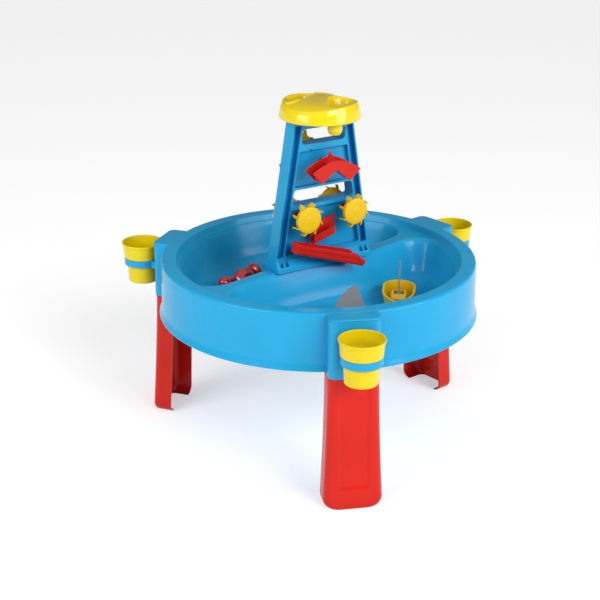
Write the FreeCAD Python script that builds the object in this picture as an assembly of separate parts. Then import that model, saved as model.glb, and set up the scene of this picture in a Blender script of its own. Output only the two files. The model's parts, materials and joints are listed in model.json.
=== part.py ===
import FreeCAD, Part
import math
import os

os.makedirs("parts", exist_ok=True)

# Sand and water table. Millimetres, +Z up, z = 0 on the floor, front leg towards -Y.
# The table's own axis stands AXIS_Y behind the origin, which is the middle of its footprint.

# ---- table top
RIM_H = 362.0            # top of the rim above the floor
RIM_R = 300.0
RIM_IN_R = 272.5
RIM_ROUND = 6.0
WALL = 3.8
SKIRT_R = 301.5
FLARE_R = 306.5
SKIRT_H = 107.0
FLARE_H = 13.0
LEDGE_R = 267.0
LEDGE_DROP = 12.5
POCKET_R = 262.0
FLOOR_DROP = 92.0
DIVIDER_HALF = 16.0
DIVIDER_MID_DEG = 22.0   # direction of the divider under the tower
DIVIDER_END_DEG = 35.3   # direction of its two ends
DIVIDER_END_OFF = 22.5
DIVIDER_BEND = 120.0
POCKET_CORNER = 60.0

# ---- corners: lobe, bracket, leg, cup
CORNER_TURNS = {"front": 0.0, "right": 120.0, "left": 240.0}
LOBE_HALF = 46.0
LOBE_R = 330.0
LOBE_ROUND = 14.0
LOBE_SEAM = 0.4
TAB_T = 4.0
BRACKET_H = 110.5
BRACKET_WALL = 4.0
RING_R = 372.0           # cup axis to table axis
RING_OUT = 37.0
RING_IN = 32.6
RING_TOP = 48.0
RING_H = 14.0
LEG_R = 330.0
LEG_FOOT_R = 334.0
LEG_DEPTH = 41.0
LEG_WALL = 3.5
LEG_FOOT_HALF = 55.0
LEG_FOOT_ROUND = 24.0
LEG_TONGUE_H = 50.0
LEG_PANEL_HALF = 27.0
LEG_PANEL_SINK = 1.5
SCREW_R = 2.4
SCREW_HOLE_R = 2.5
SCREW_Z = 30.0           # below the rim
CUP_LIP_R = 41.2
CUP_LIP_DROP = 17.3
CUP_H = 81.0
CUP_WALL = 2.2

AXIS_Y = (RING_R + CUP_LIP_R - FLARE_R) / 2

# ---- tower, in its own frame: x along the divider, front towards -y, z above the rim
TOWER_DEG = 22.0
TOWER_HALF_DEPTH = 14.0
TOWER_FOOT_HALF = 106.0
TOWER_FOOT_Z = 4.0
TOWER_NECK_HALF = 67.0
TOWER_NECK_Z = 250.0
TOWER_TOP_Z = 279.6
POST_W = 20.0
POST_WALL = 3.0
POST_WEB = 3.0
CROSS_Z = (141.0, 225.0)
CROSS_PANEL_Z = (145.0, 213.0)
LOW_PANEL_Z = (16.0, 103.0)
LOW_WINDOW_Z = (110.0, 141.0)
TOP_WINDOW_Z = (225.0, 254.0)
TOP_WINDOW_HALF = 48.0
CROSS_PANEL_N = 6.0
LOW_PANEL_N = 4.0
PLINTH_HALF = 106.0
PLINTH_HALF_DEPTH = 26.0
PLINTH_Z = (-12.1, 9.0)
AXLE_R = 3.0
AXLE_HOLE_R = 3.1
AXLE_RUN_R = 3.06
COLLAR_R = 5.2
COLLAR_GAP = 0.5

# ---- wheels and tippers
WHEEL_X = 52.0
WHEEL_Z = 91.0
WHEEL_N = (27.0, 50.0)   # back and front of a wheel, out from the tower's middle plane
WHEEL_R = 26.5
PADDLE_TIP_R = 33.0
PADDLES = 8
TOP_WHEEL_X = -28.0
TOP_WHEEL_Z = 212.0
TOP_WHEEL_N = (16.5, 32.5)
TIPPER_N = (33.0, 60.0)
TIPPER_Z = {"front": 188.0, "rear": 161.0}
TIPPER_LEAN = {"front": 2.7, "rear": 20.0}   # right side down, seen from the front
TIPPER_WALL = 2.5

# ---- hopper
HOPPER_Z = 270.0
HOPPER_R = 76.3
HOPPER_LIP_Z = 301.0
REAR_BOWL = ((-45.0, 20.0, 19.0), (-17.0, 48.0, 14.0))   # x, y, radius of its two ends
FRONT_BOWL = ((40.0, -3.0, 26.0), (19.5, -43.0, 15.0))
BOWL_FLOOR_Z = 283.0
SPOUT_N = 50.0
SPOUT_R = 14.0
SPOUT_Z = 247.0

# ---- chutes
LOW_CHUTE_N = (27.0, 58.0)
LOW_CHUTE_X = (-84.0, 68.0)
LOW_CHUTE_DEG = 17.3
LOW_CHUTE_TOP = 51.5     # top of the low chute's wall at its high end
LOW_CHUTE_H = 19.5
HIGH_CHUTE_N = (16.5, 36.0)
HIGH_CHUTE_X = (-31.0, 24.0)
HIGH_CHUTE_DEG = 14.0
HIGH_CHUTE_FLOOR = 50.0  # underside at the right end
CHUTE_WALL = 2.5

# ---- loose toys
BOAT_POS = (146.6, -53.6)
BOAT_TURN = -17.0
BOAT_LEN = 124.0
BOAT_HALF_W = 31.5
BOAT_H = 31.0
SEAT_H = 21.0
MAST_R = 1.7
MAST_Y = 11.0
MAST_TOP = 84.5
SAIL_Y = -150.0
MOULD_POS = (-133.0, 92.0)
MOULD_TURN = 35.0
REST_GAP = 0.3

UP = FreeCAD.Vector(0, 0, 1)
ORIGIN = FreeCAD.Vector(0, 0, 0)


def vec(x, y, z=0.0):
    return FreeCAD.Vector(x, y, z)


def rounded_wire(points, radii=0.0):
    """Closed wire through coplanar points, with an arc of the given radius at each corner."""
    if not isinstance(radii, (list, tuple)):
        radii = [radii] * len(points)
    edges = []
    ends = []
    for i, point in enumerate(points):
        to_prev = (points[i - 1] - point).normalize()
        to_next = (points[(i + 1) % len(points)] - point).normalize()
        if radii[i] <= 0:
            ends.append((point, None, point))
            continue
        half = to_prev.getAngle(to_next) / 2
        reach = radii[i] / math.tan(half)
        middle = (to_prev + to_next).normalize()
        centre = point + middle * (radii[i] / math.sin(half))
        ends.append((point + to_prev * reach, centre - middle * radii[i],
                     point + to_next * reach))
    for i, (start, middle, end) in enumerate(ends):
        if middle is not None:
            edges.append(Part.Arc(start, middle, end).toShape())
        following = ends[(i + 1) % len(ends)][0]
        if (following - end).Length > 1e-6:
            edges.append(Part.makeLine(end, following))
    return Part.Wire(edges)


def faceted(points, radii, facets=2):
    """Corners of a closed (a, b) outline eased by short straight facets."""
    if not isinstance(radii, (list, tuple)):
        radii = [radii] * len(points)
    eased = []
    for i, point in enumerate(points):
        if radii[i] <= 0:
            eased.append(point)
            continue
        corner = vec(point[0], point[1])
        before, after = points[i - 1], points[(i + 1) % len(points)]
        back = (vec(before[0], before[1]) - corner).normalize()
        ahead = (vec(after[0], after[1]) - corner).normalize()
        half = back.getAngle(ahead) / 2
        reach = radii[i] / math.tan(half)
        middle = (back + ahead).normalize()
        centre = corner + middle * (radii[i] / math.sin(half))
        first = corner + back * reach - centre
        last = corner + ahead * reach - centre
        for k in range(facets + 1):
            spoke = (first * (facets - k) + last * k).normalize() * radii[i]
            eased.append((centre.x + spoke.x, centre.y + spoke.y))
    return eased


def revolved(profile, radii=0.0, facets=2):
    """Solid of revolution about Z from a list of (radius, z)."""
    wire = rounded_wire([vec(r, 0, z) for r, z in faceted(profile, radii, facets)])
    return Part.Face(wire).revolve(ORIGIN, UP, 360)


def plan_prism(points, radii, z_low, z_high):
    """Prism standing on an XY outline."""
    wire = rounded_wire([vec(x, y, z_low) for x, y in points], radii)
    return Part.Face(wire).extrude(vec(0, 0, z_high - z_low))


def front_prism(points, radii, y_front, y_back):
    """Prism from an XZ outline, running from y_front back to y_back."""
    wire = rounded_wire([vec(x, y_front, z) for x, z in points], radii)
    return Part.Face(wire).extrude(vec(0, y_back - y_front, 0))


def box(x_low, x_high, y_low, y_high, z_low, z_high):
    return Part.makeBox(x_high - x_low, y_high - y_low, z_high - z_low,
                        vec(x_low, y_low, z_low))


def rod(x, z, radius, y_low, y_high):
    """Cylinder along Y."""
    return Part.makeCylinder(radius, y_high - y_low, vec(x, y_low, z), vec(0, 1, 0))


def rectangle(half_x, y_low, y_high):
    return [(-half_x, y_low), (half_x, y_low), (half_x, y_high), (-half_x, y_high)]


def turned(shape, degrees, axis=UP, about=ORIGIN):
    copy = shape.copy()
    copy.rotate(about, axis, degrees)
    return copy


def fused(shapes):
    return shapes[0].multiFuse(shapes[1:]).removeSplitter()


def export(shape, name, lift=RIM_H):
    """Write one node, moved from the rim's frame to the floor's."""
    solid = shape.copy()
    solid.translate(vec(0, AXIS_Y, lift))
    if len(solid.Solids) == 1:
        solid = solid.Solids[0]
    solid.exportStep("parts/" + name + ".step")


# ---- table top ----------------------------------------------------------------------------

def crossing(deg_a, off_a, deg_b, off_b):
    """Where two lines cross; each is given by its direction and its offset to the left."""
    na = (-math.sin(math.radians(deg_a)), math.cos(math.radians(deg_a)))
    nb = (-math.sin(math.radians(deg_b)), math.cos(math.radians(deg_b)))
    det = na[0] * nb[1] - na[1] * nb[0]
    return vec((off_a * nb[1] - off_b * na[1]) / det, (na[0] * off_b - nb[0] * off_a) / det)


def corner_arc(radius, corner, deg, offset, side):
    """Arc between a chord of a circle and the circle: points on the chord, arc and rim."""
    along = vec(math.cos(math.radians(deg)), math.sin(math.radians(deg)))
    inward = vec(-along.y, along.x)
    reach = side * math.sqrt((radius - corner) ** 2 - (offset + corner) ** 2)
    centre = along * reach + inward * (offset + corner)
    outward = vec(centre.x, centre.y).normalize()
    between = (outward - inward).normalize()
    return (along * reach + inward * offset, centre + between * corner,
            outward * radius)


def segment_wire(radius, corner, lines, z, bend=0.0):
    """Outline of a part of a disc left of a chord that may bend twice."""
    first, last = lines[0], lines[-1]
    left = corner_arc(radius, corner, first[0], first[1], -1)
    right = corner_arc(radius, corner, last[0], last[1], 1)
    far = vec(left[2].x + right[2].x, left[2].y + right[2].y).normalize() * radius
    edges = [Part.Arc(right[0], right[1], right[2]).toShape(),
             Part.Arc(right[2], far, left[2]).toShape(),
             Part.Arc(left[2], left[1], left[0]).toShape()]
    path = left[0]
    for a, b in zip(lines[:-1], lines[1:]):
        corner_point = crossing(a[0], a[1], b[0], b[1])
        turn = math.radians(abs(a[0] - b[0]))
        reach = bend * math.tan(turn / 2)
        back = vec(math.cos(math.radians(a[0])), math.sin(math.radians(a[0])))
        ahead = vec(math.cos(math.radians(b[0])), math.sin(math.radians(b[0])))
        start = corner_point - back * reach
        end = corner_point + ahead * reach
        inner = corner_point + (ahead - back).normalize() * bend * (1 / math.cos(turn / 2) - 1)
        edges.append(Part.makeLine(path, start))
        edges.append(Part.Arc(start, inner, end).toShape())
        path = end
    edges.append(Part.makeLine(path, right[0]))
    wire = Part.Wire(edges)
    wire.translate(vec(0, 0, z))
    return wire


def pocket_loft(levels):
    """Rear compartment from levels of (z, inset from the round wall, inset from the divider)."""
    wires = []
    for z, from_wall, from_divider in levels:
        half = DIVIDER_HALF + from_divider
        lines = [(DIVIDER_END_DEG, DIVIDER_END_OFF + half), (DIVIDER_MID_DEG, half),
                 (DIVIDER_END_DEG, half - DIVIDER_END_OFF)]
        corner = POCKET_CORNER - 0.8 * from_wall
        wires.append(segment_wire(POCKET_R - from_wall, corner, lines, z, DIVIDER_BEND))
    return Part.makeLoft(wires, True, True)


def make_basin():
    ledge = -LEDGE_DROP
    skirt = [(0, ledge), (LEDGE_R, ledge), (RIM_IN_R, 0), (RIM_R, 0),
             (SKIRT_R, -SKIRT_H + FLARE_H), (FLARE_R, -SKIRT_H),
             (FLARE_R - WALL, -SKIRT_H), (SKIRT_R - WALL, -SKIRT_H + FLARE_H),
             (RIM_R - WALL, -WALL), (RIM_IN_R + 3, -WALL), (LEDGE_R + 3, ledge - WALL),
             (0, ledge - WALL)]
    basin = revolved(skirt, [0, 3, 4, RIM_ROUND, 25, 0, 0, 22, 3, 2, 3, 0])
    inside = [(ledge + 1.2, -4.8, -10.5), (ledge - 0.7, -2.0, -5.4), (ledge - 3, 0, -1.4),
              (ledge - 6.5, 1, 0), (-62, 12, 14), (-74, 17, 20), (-83, 25, 29),
              (-89, 37, 42), (-FLOOR_DROP, 56, 62)]
    outside = [(ledge - 1.5, -4.4, -4.4), (-62, 8, 10), (-76, 13, 16), (-86, 21, 25),
               (-FLOOR_DROP - WALL, 46, 52)]
    shells = pocket_loft(outside)
    hollows = pocket_loft(inside)
    tabs = []
    slits = []
    for degrees in CORNER_TURNS.values():
        tabs.append(turned(make_tab(), degrees))
        for side in (-1, 1):
            x = side * (LOBE_HALF + 1.2)
            slits.append(turned(box(x - 1.2, x + 1.2, -305, -292.5, -9, 1), degrees))
    basin = basin.multiFuse([shells, turned(shells, 180)] + tabs)
    basin = basin.cut(hollows).cut(turned(hollows, 180))
    for slit in slits:
        basin = basin.cut(slit)
    for degrees in CORNER_TURNS.values():
        for side in (-1, 1):
            hole = rod(side * 24, -SCREW_Z, SCREW_HOLE_R, -310, -285)
            basin = basin.cut(turned(hole, degrees))
    return basin


def make_tab():
    """Flat top of a corner lobe, one piece with the rim."""
    outline = rectangle(LOBE_HALF, -LOBE_R, -RIM_R + 8)
    tab = plan_prism(outline, [LOBE_ROUND, LOBE_ROUND, 0, 0], -TAB_T, 0)
    edges = [e for e in tab.Edges
             if e.BoundBox.ZMin > -0.1 and e.BoundBox.YMin < -RIM_R - 1]
    return tab.makeFillet(2.5, edges)


def make_bracket():
    """Lobe below the tab: a shell round the leg's head, with the cup ring on its face."""
    top = -TAB_T - LOBE_SEAM
    outline = rectangle(LOBE_HALF, -LOBE_R, -280)
    shell = plan_prism(outline, [LOBE_ROUND, LOBE_ROUND, 0, 0], -BRACKET_H, top)
    inner = rectangle(LOBE_HALF - BRACKET_WALL, -LOBE_R + BRACKET_WALL, -270)
    round_in = LOBE_ROUND - BRACKET_WALL
    shell = shell.cut(plan_prism(inner, [round_in, round_in, 0, 0], -BRACKET_H - 1,
                                 top - BRACKET_WALL))
    bosses = []
    for side in (-1, 1):
        bosses.append(rod(side * 24, -SCREW_Z, 5.5, -LOBE_R + 2, -285))
    ring = Part.makeCylinder(RING_OUT, RING_H, vec(0, -RING_R, -RING_TOP - RING_H))
    arm = [(-30, -LOBE_R + 1), (30, -LOBE_R + 1), (23, -RING_R + 28), (-23, -RING_R + 28)]
    bridge = plan_prism(arm, 0, -RING_TOP - RING_H, -RING_TOP)
    bracket = shell.multiFuse(bosses + [ring, bridge])
    bracket = bracket.cut(Part.makeCylinder(RING_IN, RING_H + 2,
                                            vec(0, -RING_R, -RING_TOP - RING_H - 1)))
    gap = LOBE_SEAM
    skirt_side = [(0, 5), (RIM_R + 0.3 + gap, 5), (RIM_R + 0.3 + gap, -10),
                  (SKIRT_R + gap, -SKIRT_H + FLARE_H + 4), (FLARE_R + gap, -SKIRT_H + 1),
                  (FLARE_R + gap, -SKIRT_H - 8), (0, -SKIRT_H - 8)]
    bracket = bracket.cut(revolved(skirt_side))
    for side in (-1, 1):
        bracket = bracket.cut(rod(side * 24, -SCREW_Z, SCREW_HOLE_R, -LOBE_R + 8, -280))
    return bracket.removeSplitter()


def make_screw(side):
    """Dome-headed screw from inside the skirt into a bracket boss."""
    head_y = -RIM_R + WALL + 1.2
    shaft = rod(side * 24, -SCREW_Z, SCREW_R, -LOBE_R + 10, head_y + 1)
    head = rod(side * 24, -SCREW_Z, 5.2, head_y, head_y + 2.6)
    rims = [e for e in head.Edges if e.BoundBox.YMin > head_y + 2]
    head = head.makeChamfer(1.6, rims)
    slot = box(side * 24 - 4, side * 24 + 4, head_y + 1.6, head_y + 4,
               -SCREW_Z - 0.6, -SCREW_Z + 0.6)
    return shaft.fuse(head).cut(slot)


def make_leg():
    """U-shaped leg, open towards the middle, with a tongue up into its bracket."""
    top_z = -BRACKET_H - 0.5
    wires_out = []
    wires_in = []
    for z, half, face in ((top_z, LOBE_HALF, LEG_R), (-RIM_H, LEG_FOOT_HALF, LEG_FOOT_R)):
        outer = rectangle(half, -face, -face + LEG_DEPTH)
        inner = rectangle(half - LEG_WALL, -face + LEG_WALL, -face + LEG_DEPTH + 5)
        outer = faceted(outer, [LOBE_ROUND, LOBE_ROUND, 0, 0], 4)
        inner = faceted(inner, [LOBE_ROUND - LEG_WALL, LOBE_ROUND - LEG_WALL, 0, 0], 4)
        wires_out.append(rounded_wire([vec(x, y, z) for x, y in outer]))
        wires_in.append(rounded_wire([vec(x, y, z) for x, y in inner]))
    leg = Part.makeLoft(wires_out, True, True).cut(Part.makeLoft(wires_in, True, True))
    cap = plan_prism(rectangle(LOBE_HALF - 1, -LEG_R + 1, -LEG_R + LEG_DEPTH - 1),
                     [LOBE_ROUND - 1, LOBE_ROUND - 1, 1, 1], top_z - LEG_WALL, top_z)
    tongue_half = LOBE_HALF - BRACKET_WALL - LOBE_SEAM
    y_face = -LOBE_R + BRACKET_WALL + LOBE_SEAM
    tongue = plan_prism(rectangle(tongue_half, y_face, y_face + 16.5), [10, 10, 0, 0],
                        top_z - 1, top_z + LEG_TONGUE_H)
    core = plan_prism(rectangle(tongue_half - 3, y_face + 3, y_face + 20), [7, 7, 0, 0],
                      top_z, top_z + LEG_TONGUE_H + 1)
    foot = [(-LEG_FOOT_HALF, -RIM_H), (LEG_FOOT_HALF, -RIM_H),
            (LEG_FOOT_HALF, 0), (-LEG_FOOT_HALF, 0)]
    keep = front_prism(foot, [LEG_FOOT_ROUND, LEG_FOOT_ROUND, 0, 0], -LEG_FOOT_R - 2, -280)
    panel = [(-LEG_PANEL_HALF, -RIM_H + 44), (LEG_PANEL_HALF, -RIM_H + 44),
             (LEG_PANEL_HALF, 0), (-LEG_PANEL_HALF, 0)]
    sink = front_prism(panel, [11, 11, 0, 0], -LEG_FOOT_R - 3, -LEG_FOOT_R)
    lean = math.degrees(math.atan((LEG_FOOT_R - LEG_R) / (RIM_H - BRACKET_H)))
    sink = turned(sink, -lean, vec(1, 0, 0), vec(0, -LEG_FOOT_R, -RIM_H))
    sink.translate(vec(0, LEG_PANEL_SINK, 0))
    return leg.fuse(cap).common(keep).cut(sink).fuse(tongue.cut(core)).removeSplitter()


def make_cup():
    """Tapered cup with a lip, and a shoulder that rests on the ring."""
    lip = -CUP_LIP_DROP
    base = lip - CUP_H
    shoulder = -RING_TOP + REST_GAP
    profile = [(0, base), (29.8, base), (31.8, shoulder), (37.2, shoulder),
               (39.3, lip - 4.5), (CUP_LIP_R, lip - 3.8), (CUP_LIP_R, lip), (37.6, lip),
               (34.6, shoulder + CUP_WALL), (29.6, shoulder + 1), (27.6, base + CUP_WALL),
               (0, base + CUP_WALL)]
    cup = revolved(profile, [0, 3.5, 0, 1.2, 0, 0.8, 1.2, 1.5, 1.5, 2, 2, 0])
    cup.translate(vec(0, -RING_R, 0))
    return cup


# ---- tower --------------------------------------------------------------------------------

def post_edge(z):
    """Half width of the tower at height z."""
    slope = (TOWER_FOOT_HALF - TOWER_NECK_HALF) / (TOWER_NECK_Z - TOWER_FOOT_Z)
    return TOWER_FOOT_HALF - slope * (z - TOWER_FOOT_Z)


def tapered(z_low, z_high, inset):
    """Symmetric outline between two heights, held in from the tower's edge."""
    low = post_edge(z_low) - inset
    high = post_edge(z_high) - inset
    return [(-low, z_low), (low, z_low), (high, z_high), (-high, z_high)]


def channel(z_low, z_high, side):
    """Outline of the groove that runs up one post."""
    near, far = POST_WALL, POST_W - POST_WALL
    return [(side * (post_edge(z_low) - far), z_low), (side * (post_edge(z_low) - near), z_low),
            (side * (post_edge(z_high) - near), z_high),
            (side * (post_edge(z_high) - far), z_high)]


def make_tower():
    d = TOWER_HALF_DEPTH
    body = front_prism(tapered(TOWER_FOOT_Z, TOWER_TOP_Z, 0), [0, 0, 6, 6], -d, d)
    plinth = make_plinth()
    tower = body.fuse(plinth)
    cuts = []
    top_window = [(-TOP_WINDOW_HALF, TOP_WINDOW_Z[0]), (TOP_WINDOW_HALF, TOP_WINDOW_Z[0]),
                  (TOP_WINDOW_HALF, TOP_WINDOW_Z[1]), (-TOP_WINDOW_HALF, TOP_WINDOW_Z[1])]
    cuts.append(front_prism(top_window, 8, -d - 1, d + 1))
    low_window = tapered(LOW_WINDOW_Z[0], LOW_WINDOW_Z[1], POST_W)
    cuts.append(front_prism(low_window, 7, -d - 1, d + 1))
    for face in (-1, 1):
        outer = face * (d + 1)
        for side in (-1, 1):
            web = face * POST_WEB / 2
            cuts.append(front_prism(channel(14, 262, side), 2, outer, web))
        cross = tapered(CROSS_PANEL_Z[0], CROSS_PANEL_Z[1], POST_W)
        cuts.append(front_prism(cross, 4, outer, face * CROSS_PANEL_N))
        low = tapered(LOW_PANEL_Z[0], LOW_PANEL_Z[1], POST_W)
        cuts.append(front_prism(low, 5, outer, face * LOW_PANEL_N))
        for side in (-1, 1):
            for x in (84, 95):
                cell = box(side * x - 4, side * x + 4, -4, 4, -8, 12)
                cell.translate(vec(0, face * (PLINTH_HALF_DEPTH - 7), 0))
                cuts.append(cell)
    for x, z in axle_places():
        cuts.append(rod(x, z, AXLE_HOLE_R, -d - 1, d + 1))
    for cut in cuts:
        tower = tower.cut(cut)
    return tower.removeSplitter()


def make_plinth():
    """Foot of the tower that saddles the divider: flared sides under the posts."""
    low, high = PLINTH_Z
    sections = []
    for z, half, depth in ((low, PLINTH_HALF, PLINTH_HALF_DEPTH),
                           (low + 8, PLINTH_HALF, PLINTH_HALF_DEPTH - 1),
                           (high, PLINTH_HALF - 2.5, TOWER_HALF_DEPTH + 1)):
        corners = faceted(rectangle(half, -depth, depth), 3)
        sections.append(rounded_wire([vec(x, y, z) for x, y in corners]))
    return Part.makeLoft(sections, True, True)


def axle_places():
    return [(-WHEEL_X, WHEEL_Z), (WHEEL_X, WHEEL_Z), (TOP_WHEEL_X, TOP_WHEEL_Z),
            (0.0, TIPPER_Z["front"]), (0.0, TIPPER_Z["rear"])]


def make_axle(x, z, n_rear, n_front, collars):
    """Pin through the tower; collars are (side, from, to) in distance from its middle."""
    parts = [rod(x, z, AXLE_R, -n_front, n_rear)]
    for side, near, far in collars:
        if side == "front":
            parts.append(rod(x, z, COLLAR_R, -far + COLLAR_GAP, -near - REST_GAP))
        else:
            parts.append(rod(x, z, COLLAR_R, near + REST_GAP, far - COLLAR_GAP))
    return fused(parts)


def make_wheel(x, z, face, reach=WHEEL_N):
    """Water wheel: plain outer disc, smaller inner disc, hub, and hooked paddles between."""
    near, far = reach
    disc = rod(0, 0, WHEEL_R, -far, -far + 3)
    rims = [e for e in disc.Edges if e.BoundBox.YMax < -far + 0.5]
    disc = disc.makeChamfer(0.8, rims)
    back = rod(0, 0, 17, -near - 2.2, -near)
    hub = rod(0, 0, 6.2, -far + 2, -near)
    blade = [(5, -1.1), (24, -1.1), (30.5, -6.5), (PADDLE_TIP_R - 0.6, -4.2), (27, 1.4),
             (5, 1.1)]
    parts = [disc, back, hub]
    for i in range(PADDLES):
        paddle = front_prism(blade, 0, -far + 2.5, -near - 1)
        parts.append(turned(paddle, 360.0 * i / PADDLES + 12, vec(0, 1, 0)))
    wheel = fused(parts)
    wheel = wheel.cut(rod(0, 0, AXLE_RUN_R, -far + 3.2, 0))
    if face == "rear":
        wheel = turned(wheel, 180)
    wheel.translate(vec(x, 0, z))
    return wheel


def make_tipper(face):
    """Rocking double trough: two sloping arms either side of a pointed fin and a hub."""
    near, far = TIPPER_N
    outline = [(-52, -7), (-31, -29), (0, -5.5), (31, -29), (52, -7), (27, 8), (0, 15),
               (-27, 8)]
    body = front_prism(outline, [2, 2, 6, 2, 2, 30, 12, 30], -far, -near)
    wall = TIPPER_WALL
    for side in (-1, 1):
        trough = [(side * 2, 40), (side * 2, 1), (side * 70, -49), (side * 90, 40)]
        body = body.cut(front_prism(trough, 0, -far + wall, -near - wall))
    fin = front_prism([(-10, 9), (10, 9), (0, 25)], [0, 0, 1], -near - wall, -near)
    rib = front_prism([(-1.3, 4), (1.3, 4), (1.3, 17), (-1.3, 17)], 0, -far + 1, -near - 1)
    hub = rod(0, 0, 6.0, -far, -near)
    tipper = fused([body, fin, rib, hub])
    tipper = tipper.cut(rod(0, 0, AXLE_RUN_R, -far + 1.8, 0))
    if face == "rear":
        tipper = turned(tipper, 180)
    tipper = turned(tipper, TIPPER_LEAN[face], vec(0, 1, 0))
    tipper.translate(vec(0, 0, TIPPER_Z[face]))
    return tipper


# ---- hopper -------------------------------------------------------------------------------

def hull_wire(ends, inset, z):
    """Outline round two circles and the straight lines that touch both."""
    (xa, ya, ra), (xb, yb, rb) = ends
    ra, rb = ra - inset, rb - inset
    along = vec(xb - xa, yb - ya)
    lean = math.degrees(math.acos((ra - rb) / along.Length))
    heading = math.degrees(math.atan2(along.y, along.x))

    def at(x, y, radius, degrees):
        angle = math.radians(heading + degrees)
        return vec(x + radius * math.cos(angle), y + radius * math.sin(angle), z)

    first = [at(xa, ya, ra, lean), at(xa, ya, ra, 180), at(xa, ya, ra, -lean)]
    last = [at(xb, yb, rb, -lean), at(xb, yb, rb, 0), at(xb, yb, rb, lean)]
    return Part.Wire([Part.Arc(first[0], first[1], first[2]).toShape(),
                      Part.makeLine(first[2], last[0]),
                      Part.Arc(last[0], last[1], last[2]).toShape(),
                      Part.makeLine(last[2], first[0])])


def bowl_loft(ends, levels):
    return Part.makeLoft([hull_wire(ends, inset, z) for z, inset in levels], True, True)


def make_spout():
    """Round outlet under a bowl, closed to a small hole at its bottom."""
    outer = [(0, BOWL_FLOOR_Z - 2), (SPOUT_R, BOWL_FLOOR_Z - 2), (SPOUT_R, SPOUT_Z + 9),
             (7, SPOUT_Z), (0, SPOUT_Z)]
    return revolved(outer, [0, 0, 9, 4, 0])


def make_spout_bore():
    wall = 2.6
    inner = [(0, BOWL_FLOOR_Z + 3), (SPOUT_R - wall, BOWL_FLOOR_Z + 3),
             (SPOUT_R - wall, SPOUT_Z + 11), (4.2, SPOUT_Z + 3), (4.2, SPOUT_Z - 1),
             (0, SPOUT_Z - 1)]
    return revolved(inner, [0, 0, 5, 0, 0, 0])


def make_hopper():
    """Round hopper whose domed top holds two bowls, each over a spout."""
    z0, top = HOPPER_Z, HOPPER_LIP_Z
    outer = [(0, z0), (HOPPER_R - 0.8, z0), (HOPPER_R, z0 + 3), (73.2, z0 + 23),
             (68.5, top), (30, top + 2.2), (0, top + 2.6)]
    shell = revolved(outer, [0, 1, 2, 9, 5, 60, 0])
    wall = 3.0
    cavity = [(0, z0 - 1), (HOPPER_R - wall - 0.6, z0 - 1), (73.2 - wall, z0 + 22),
              (66, top - wall), (0, top - wall)]
    shell = shell.cut(revolved(cavity, [0, 0, 7, 3, 0]))
    outside = [(top - 1, -2.5), (top - 9, -1), (BOWL_FLOOR_Z + 1, 2), (BOWL_FLOOR_Z - wall, 6)]
    inside = [(top + 4, -4), (top + 1, -2.2), (top - 1, -0.6), (top - 4, 0.8),
              (top - 10, 2.4), (BOWL_FLOOR_Z + 3, 4.5), (BOWL_FLOOR_Z + 0.8, 7),
              (BOWL_FLOOR_Z, 9.5)]
    outlet = turned(vec_shape(make_spout(), 0, -SPOUT_N), TOWER_DEG)
    drain = turned(vec_shape(make_spout_bore(), 0, -SPOUT_N), TOWER_DEG)
    hopper = shell.multiFuse([bowl_loft(REAR_BOWL, outside), bowl_loft(FRONT_BOWL, outside),
                              outlet, turned(outlet, 180)])
    for hollow in (bowl_loft(REAR_BOWL, inside), bowl_loft(FRONT_BOWL, inside), drain,
                   turned(drain, 180)):
        hopper = hopper.cut(hollow)
    return hopper.removeSplitter()


def vec_shape(shape, x, y, z=0.0):
    moved = shape.copy()
    moved.translate(vec(x, y, z))
    return moved


# ---- chutes -------------------------------------------------------------------------------

def trough_section(x, n_low, n_high, back_h, front_h, inner):
    """U section across a chute at x, with its foot at z = 0; n runs out to the front."""
    t = CHUTE_WALL if inner else 0.0
    rise = 60.0 if inner else 0.0
    r = 6.0 - 0.6 * t
    points = [(-n_low - t, t), (-n_high + t, t), (-n_high + t, front_h + rise),
              (-n_low - t, back_h + rise)]
    return rounded_wire([vec(x, y, z) for y, z in points], [r, r, 0, 0])


def trough(x_low, x_high, n_low, n_high, back_h, front_h):
    outer = Part.Face(trough_section(x_low, n_low, n_high, back_h, front_h, False))
    inner = Part.Face(trough_section(x_low, n_low, n_high, back_h, front_h, True))
    length = vec(x_high - x_low, 0, 0)
    solid = outer.extrude(length)
    steps = [solid.cut(inner.extrude(length))]
    return steps[0]


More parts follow.
